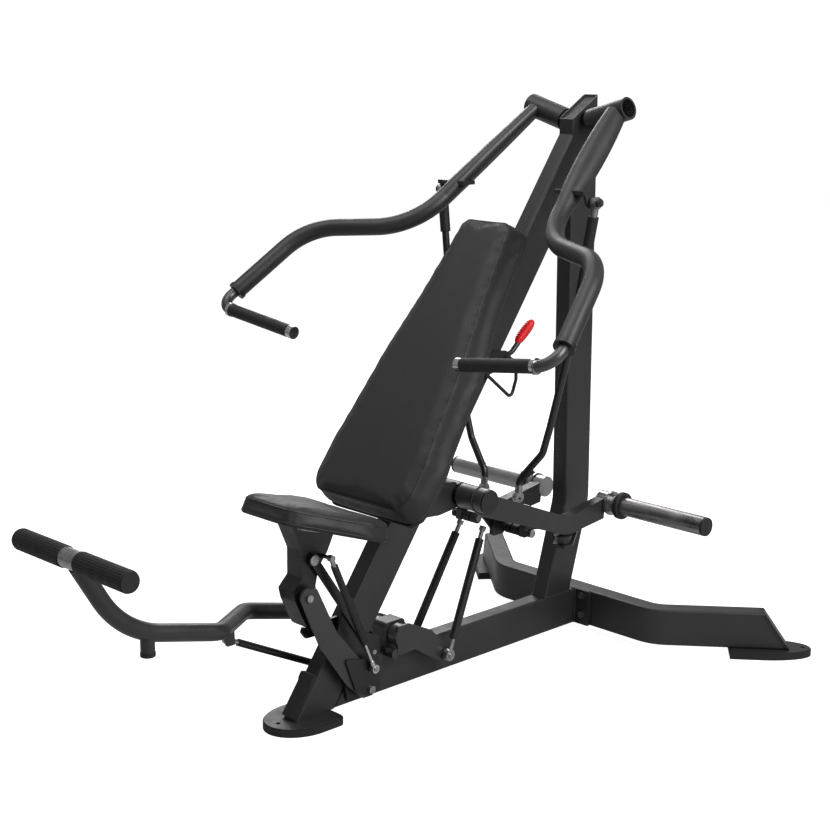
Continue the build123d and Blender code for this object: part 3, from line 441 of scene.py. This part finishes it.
def dress_sides():
    for side, sign in LR:
        pin, first, foot = (side_point(q, sign) for q in (LINK_PIN, LINK_FIRST, LINK_FOOT))

        def link_finish(c):
            run, _ = along(c, pin, first)
            if run < LINK_EYE_REACH or (c - foot).length < LINK_EYE_REACH:
                return 1
            return 2 if run < LINK_SLEEVE_END else 0
        dress("link_rod_" + side, ("dark_paint", "steel", "rubber"), link_finish)

        low, high = side_point(PUSH_FOOT, sign), side_point(PUSH_TOP, sign)
        length = (high - low).length

        def push_finish(c):
            run, _ = along(c, low, high)
            return 0 if PUSH_FOOT_JOINT < run < length - PUSH_TOP_JOINT else 1
        dress("push_rod_" + side, ("dark_paint", "steel"), push_finish)

        elbow, end = side_point(ARM_ELBOW, sign), side_point(ARM_END, sign)
        outer, inner = side_point(GRIP_OUTER, sign), side_point(GRIP_INNER, sign)
        grip_l = (inner - outer).length

        def handle_finish(c):
            run, _ = along(c, elbow, end)
            past = run - (end - elbow).length
            if past < HANDLE_CAP_PAST and (c - end).length < HANDLE_REACH:
                return 1
            grip_run, off = along(c, outer, inner)
            if off < HANDLE_REACH and GRIP_RING[0] < grip_run < GRIP_RING[1]:
                return 2
            return 2 if grip_run > grip_l - GRIP_END_CAP else 0
        dress("press_handle_" + side, ("satin", "black_plastic", "chrome"), handle_finish)

        def lever_finish(c):
            off = off_axis(c, AXIS_YZ)
            if off < LEVER_BOSS_R:
                inside = abs(c.x) < LEVER_BOSS_INNER_X or off < LEVER_BORE_R
                return 2 if abs(c.x) > LEVER_BOSS_FACE_X else (1 if inside else 0)
            return 3 if abs(c.x) < LEVER_STUD_X and c.z < LEVER_STUD_TOP else 0
        dress("weight_lever_" + side, ("frame_paint", "light_grey", "black_plastic", "steel"), lever_finish)

        def peg_finish(c):
            return 0 if off_axis(c, PEG_YZ) > PEG_CORE_R else 1
        dress("lift_peg_" + side, ("rubber", "steel"), peg_finish)


def dress_middle():
    rod_a, rod_b = mm(*FOOT_ROD_ENDS[0]), mm(*FOOT_ROD_ENDS[1])

    def rod_finish(c):
        run, _ = along(c, rod_a, rod_b)
        return 0 if FOOT_ROD_JOINTS[0] < run < (rod_b - rod_a).length - FOOT_ROD_JOINTS[1] else 1
    dress("foot_rod", ("dark_paint", "steel"), rod_finish)
    gas_a, gas_b = mm(*GAS_ENDS[0]), mm(*GAS_ENDS[1])

    def gas_finish(c):
        run, off = along(c, gas_a, gas_b)
        return 1 if run > GAS_HEAD_RUN or off < GAS_BORE_EDGE_R else 0
    dress("gas_cylinder", ("black_plastic", "steel"), gas_finish)

    def axle_finish(c):
        reach = (c.x ** 2 + (c.z - PRESS_AXIS_YZ[1]) ** 2) ** 0.5
        return 1 if reach < AXLE_HUB_R and abs(c.y - PRESS_AXIS_YZ[0]) < AXLE_HUB_HALF else 0
    dress("press_axles", ("chrome", "black_plastic"), axle_finish)

    def bracket_finish(c):
        near_bolt = all(abs(v - at) < SEAT_BOLT_HALF for v, at in zip((c.y, c.z), SEAT_BOLT_YZ))
        ball = c.x > GAS_BALL_FROM_XZ[0] and c.z > GAS_BALL_FROM_XZ[1]
        return 1 if near_bolt and c.x > SEAT_BOLT_FROM_X or ball else 0
    dress("seat_bracket", ("dark_paint", "steel"), bracket_finish)

    def crank_finish(c):
        hub = off_axis(c, CRANK_YZ) < CRANK_HUB_R and abs(c.x) < CRANK_HUB_X
        return 2 if abs(c.x) > CRANK_PIN_X else (1 if hub else 0)
    dress("crank", ("grey_paint", "light_grey", "steel"), crank_finish)
    dress("roller_socket", ("steel", "black_plastic"), lambda c: int(abs(c.x) > ROLLER_CAP_X))


# ------------------------------------------------------------------ upholstery
LEAN = radians(35.5)
UP_BEAM = Vector((0, sin(LEAN), cos(LEAN)))
OFF_BEAM = Vector((0, -cos(LEAN), sin(LEAN)))
BEAM_FOOT = Vector((0, -0.378, 0))
PAD_BACK = 0.050
PAD_FRONT = 0.126
FRONT_OUTLINE = ((140, 553), (164, 572), (175, 600), (174, 690), (166, 750), (144, 965),
                 (124, 1070), (112, 1135), (86, 1340), (70, 1354))
SEAT_SLOPE = radians(17.06)
SEAT_ORIGIN = mm(0, -179.8, 455.6)
SEAT_BACKWARD = Vector((0, -cos(SEAT_SLOPE), sin(SEAT_SLOPE)))
SEAT_UP = Vector((0, sin(SEAT_SLOPE), cos(SEAT_SLOPE)))
SEAT_T = 0.050
SEAT_OUTLINE = ((150, 0), (168, 20), (168, 70), (100, 251), (84, 270))


def bake_modifiers(obj):
    """Swap an object's mesh for its evaluated one and drop its modifiers."""
    graph = bpy.context.evaluated_depsgraph_get()
    mesh = bpy.data.meshes.new_from_object(obj.evaluated_get(graph))
    obj.modifiers.clear()
    obj.data = mesh


BOARD_BAND = 0.006
INSET_FROM = 0.02
STUFFING_PRESSURE = 4.0
STUFFING_FRAMES = 20
RELAX_ROUNDS = 9
TOP_FACING = 0.72
CORD_STEP = 0.008
OUTLINE_CORNER = 0.022


def padded_cushion(name, node, flat_base, cap, shrink, voxel=0.006):
    """Cushion that swells like stuffed vinyl, staying flat where it rests on its board."""
    mesh = NODES[node].data.copy()
    obj = new_piece(name, mesh, BODY_OF[node], [M["upholstery"]], (node,))
    centre = sum((v.co for v in mesh.vertices), Vector()) / len(mesh.vertices)
    base_point, base_normal = flat_base
    for v in mesh.vertices:
        height = (v.co - base_point).dot(base_normal)
        inward = centre - v.co
        inward -= base_normal * inward.dot(base_normal)
        v.co += inward.normalized() * shrink
        v.co -= base_normal * (shrink if height > INSET_FROM else 0.0)
    remesh = obj.modifiers.new("skin", "REMESH")
    remesh.mode = "VOXEL"
    remesh.voxel_size = voxel
    bake_modifiers(obj)
    rest = [v.co.copy() for v in obj.data.vertices]
    pins = obj.vertex_groups.new(name="board_side")
    low = [i for i, c in enumerate(rest) if (c - base_point).dot(base_normal) < BOARD_BAND]
    pins.add(low, 1.0, "REPLACE")
    cloth = obj.modifiers.new("stuffing", "CLOTH")
    cloth.settings.use_pressure = True
    cloth.settings.uniform_pressure_force = STUFFING_PRESSURE
    cloth.settings.effector_weights.gravity = 0.0
    cloth.settings.vertex_group_mass = "board_side"
    cloth.settings.quality = 4
    cloth.point_cache.frame_start = 1
    cloth.point_cache.frame_end = STUFFING_FRAMES
    for step in range(1, STUFFING_FRAMES + 1):
        scene.frame_set(step)
    bake_modifiers(obj)
    scene.frame_set(1)
    for v, start in zip(obj.data.vertices, rest):
        move = v.co - start
        if move.length > cap:
            v.co = start + move.normalized() * cap
    smooth = obj.modifiers.new("relax", "SMOOTH")
    smooth.factor = 0.5
    smooth.iterations = RELAX_ROUNDS
    round_off = obj.modifiers.new("round_off", "SUBSURF")
    round_off.levels = round_off.render_levels = 1
    bake_modifiers(obj)
    for poly in obj.data.polygons:
        poly.use_smooth = True
    obj.data.materials.clear()
    for finish in ("upholstery", "pad_side"):
        obj.data.materials.append(M[finish])
    for poly in obj.data.polygons:
        poly.material_index = 0 if poly.normal.dot(base_normal) > TOP_FACING else 1
    return obj


def rounded_loop(stations, corner, count=7):
    """Closed outline of (across, along) points, both halves, with its corners rounded."""
    points = [Vector(p) / 1000 for p in stations]
    points += [Vector((-p[0], p[1])) / 1000 for p in reversed(stations)]
    loop = []
    total = len(points)
    for i, here in enumerate(points):
        before, after = points[i - 1], points[(i + 1) % total]
        reach = min(corner, (here - before).length * 0.45, (after - here).length * 0.45)
        start = here + (before - here).normalized() * reach
        end = here + (after - here).normalized() * reach
        for k in range(count):
            t = k / (count - 1)
            loop.append(start * (1 - t) ** 2 + here * 2 * t * (1 - t) + end * t * t)
    return loop


def resample(points, step):
    """Evenly spaced points round a closed loop."""
    ring = points + [points[0]]
    spaced, left = [], 0.0
    for a, b in zip(ring, ring[1:]):
        length = (b - a).length
        while left < length:
            spaced.append(a.lerp(b, left / length))
            left += step
        left -= length
    return spaced


def piping(name, pad, points, radius, node, lift):
    """Sewn edge cord that follows the cushion's own surface."""
    tree = BVHTree.FromObject(pad, bpy.context.evaluated_depsgraph_get())
    curve = bpy.data.curves.new(name, "CURVE")
    curve.dimensions = "3D"
    curve.bevel_depth = radius
    curve.bevel_resolution = 3
    path = resample(points, CORD_STEP)
    spline = curve.splines.new("NURBS")
    spline.points.add(len(path) - 1)
    for knot, point in zip(spline.points, path):
        near, normal, _, _ = tree.find_nearest(point)
        knot.co = (*(near + normal * lift), 1)
    spline.use_cyclic_u = True
    spline.order_u = 4
    obj = bpy.data.objects.new(name, curve)
    scene.collection.objects.link(obj)
    curve.materials.append(M["piping"])
    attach(obj, BODY_OF[node])


GRIP_ENDS = ((15, 404, 842), (15, 468, 896))
GRIP_R = 0.0134
GRIP_TIP_R = 0.0006
GRIP_INSET = 0.0005
RIB_DEPTH = 0.00055
RIB_COUNT = 11
RIBS_FROM_TO = (0.1, 0.9)
GRIP_RINGS, GRIP_SIDES = 72, 28


def ribbed_grip():
    """Red soft grip: a rounded handle with moulded rings, on the release lever's bar."""
    start, end = (mm(*q) for q in GRIP_ENDS)
    axis = (end - start).normalized()
    across = Vector((1, 0, 0))
    up = axis.cross(across)
    length = (end - start).length
    rings, sides = GRIP_RINGS, GRIP_SIDES
    grid = bmesh.new()
    loops = []
    for i in range(rings + 1):
        t = i / rings
        bulge = GRIP_R * (1 - abs(2 * t - 1) ** 5) ** 0.5 * (0.86 + 0.14 * sin(pi * t))
        ripple = RIB_DEPTH * cos(2 * pi * RIB_COUNT * t) if RIBS_FROM_TO[0] < t < RIBS_FROM_TO[1] else 0
        radius = max(bulge - GRIP_INSET + ripple, GRIP_TIP_R)
        loops.append([grid.verts.new(start + axis * (length * t) + (across * cos(2 * pi * k / sides)
                      + up * sin(2 * pi * k / sides)) * radius) for k in range(sides)])
    for a, b in zip(loops, loops[1:]):
        for k in range(sides):
            grid.faces.new((a[k], a[(k + 1) % sides], b[(k + 1) % sides], b[k]))
    grid.faces.new(list(reversed(loops[0])))
    grid.faces.new(loops[-1])
    mesh = bpy.data.meshes.new("ribbed_grip")
    bmesh.ops.recalc_face_normals(grid, faces=grid.faces)
    grid.to_mesh(mesh)
    grid.free()
    for poly in mesh.polygons:
        poly.use_smooth = True
    new_piece("release_grip_ribbed", mesh, BODY_OF["release_grip"],
              [M["red_plastic"]], ("release_grip",))


BEAD_STEP = 0.0022
BEAD_RIPPLE = (0.78, 1.0, 1.05, 0.92)
FRAME_BEAD_R = 0.0026
BOSS_BEAD_R = 0.0022
TUBE_HALF_W = 25.5
UPRIGHT_Y = (523.5, 625.5)
FLANGE_Y = 648
FLANGE_Z = (22, 119.5)
BOSS_X = 100
BOSS_YZ = (185, 481)
BOSS_R = 32.2
BOSS_SIDES = 40


def weld(name, corners, radius, body="frame"):
    """Bead of weld round a joint, rippled where each drop froze."""
    path = resample([Vector(c) / 1000 for c in corners], BEAD_STEP)
    curve = bpy.data.curves.new(name, "CURVE")
    curve.dimensions = "3D"
    curve.bevel_depth = radius
    curve.bevel_resolution = 2
    spline = curve.splines.new("POLY")
    spline.points.add(len(path) - 1)
    for i, (knot, point) in enumerate(zip(spline.points, path)):
        knot.co = (*point, 1)
        knot.radius = BEAD_RIPPLE[i % len(BEAD_RIPPLE)]
    spline.use_cyclic_u = True
    obj = bpy.data.objects.new(name, curve)
    scene.collection.objects.link(obj)
    curve.materials.append(M["frame_paint"])
    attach(obj, body)


def make_welds():
    low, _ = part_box("rear_upright")
    w, (front, back), foot = TUBE_HALF_W, UPRIGHT_Y, 1000 * low[2] + 1
    weld("weld_upright_foot", ((-w, front, foot), (w, front, foot), (w, back, foot), (-w, back, foot)),
         FRAME_BEAD_R)
    y, (bottom, top) = FLANGE_Y, FLANGE_Z
    weld("weld_base_flange", ((-w, y, bottom), (w, y, bottom), (w, y, top), (-w, y, top)), FRAME_BEAD_R)
    turns = [2 * pi * k / BOSS_SIDES for k in range(BOSS_SIDES)]
    for side, sign in LR:
        ring = [(sign * BOSS_X, BOSS_YZ[0] + BOSS_R * cos(t), BOSS_YZ[1] + BOSS_R * sin(t)) for t in turns]
        weld("weld_lever_boss_" + side, ring, BOSS_BEAD_R, BODY_OF["weight_lever_" + side])


def make_pads():
    back = padded_cushion("back_cushion", "back_pad", (BEAM_FOOT + OFF_BEAM * PAD_BACK, OFF_BEAM),
                          0.006, 0.003)
    crease = [BEAM_FOOT + UP_BEAM * q.y + OFF_BEAM * (PAD_FRONT - 0.004) + Vector((q.x, 0, 0))
              for q in rounded_loop(FRONT_OUTLINE, OUTLINE_CORNER)]
    piping("back_cushion_piping", back, crease, 0.0019, "back_pad", 0.0004)
    seat = padded_cushion("seat_cushion", "seat_pad", (SEAT_ORIGIN, SEAT_UP), 0.005, 0.0025, 0.005)
    for name, height in (("seat_top_piping", SEAT_T - 0.010), ("seat_low_piping", 0.008)):
        edge = [SEAT_ORIGIN + SEAT_BACKWARD * q.y + SEAT_UP * height + Vector((q.x, 0, 0))
                for q in rounded_loop(SEAT_OUTLINE, OUTLINE_CORNER)]
        piping(name, seat, edge, 0.0016, "seat_pad", 0.0003)


dress_sides()
dress_middle()
make_pads()
ribbed_grip()
make_welds()

for name, node in NODES.items():
    for material_slot in node.material_slots:
        material_slot.link = "OBJECT"
        material_slot.material = M[FINISH.get(name, SLOT_OF[name])]
    if name + "_finish" not in bpy.data.objects and name not in SOFT:
        soften(node)
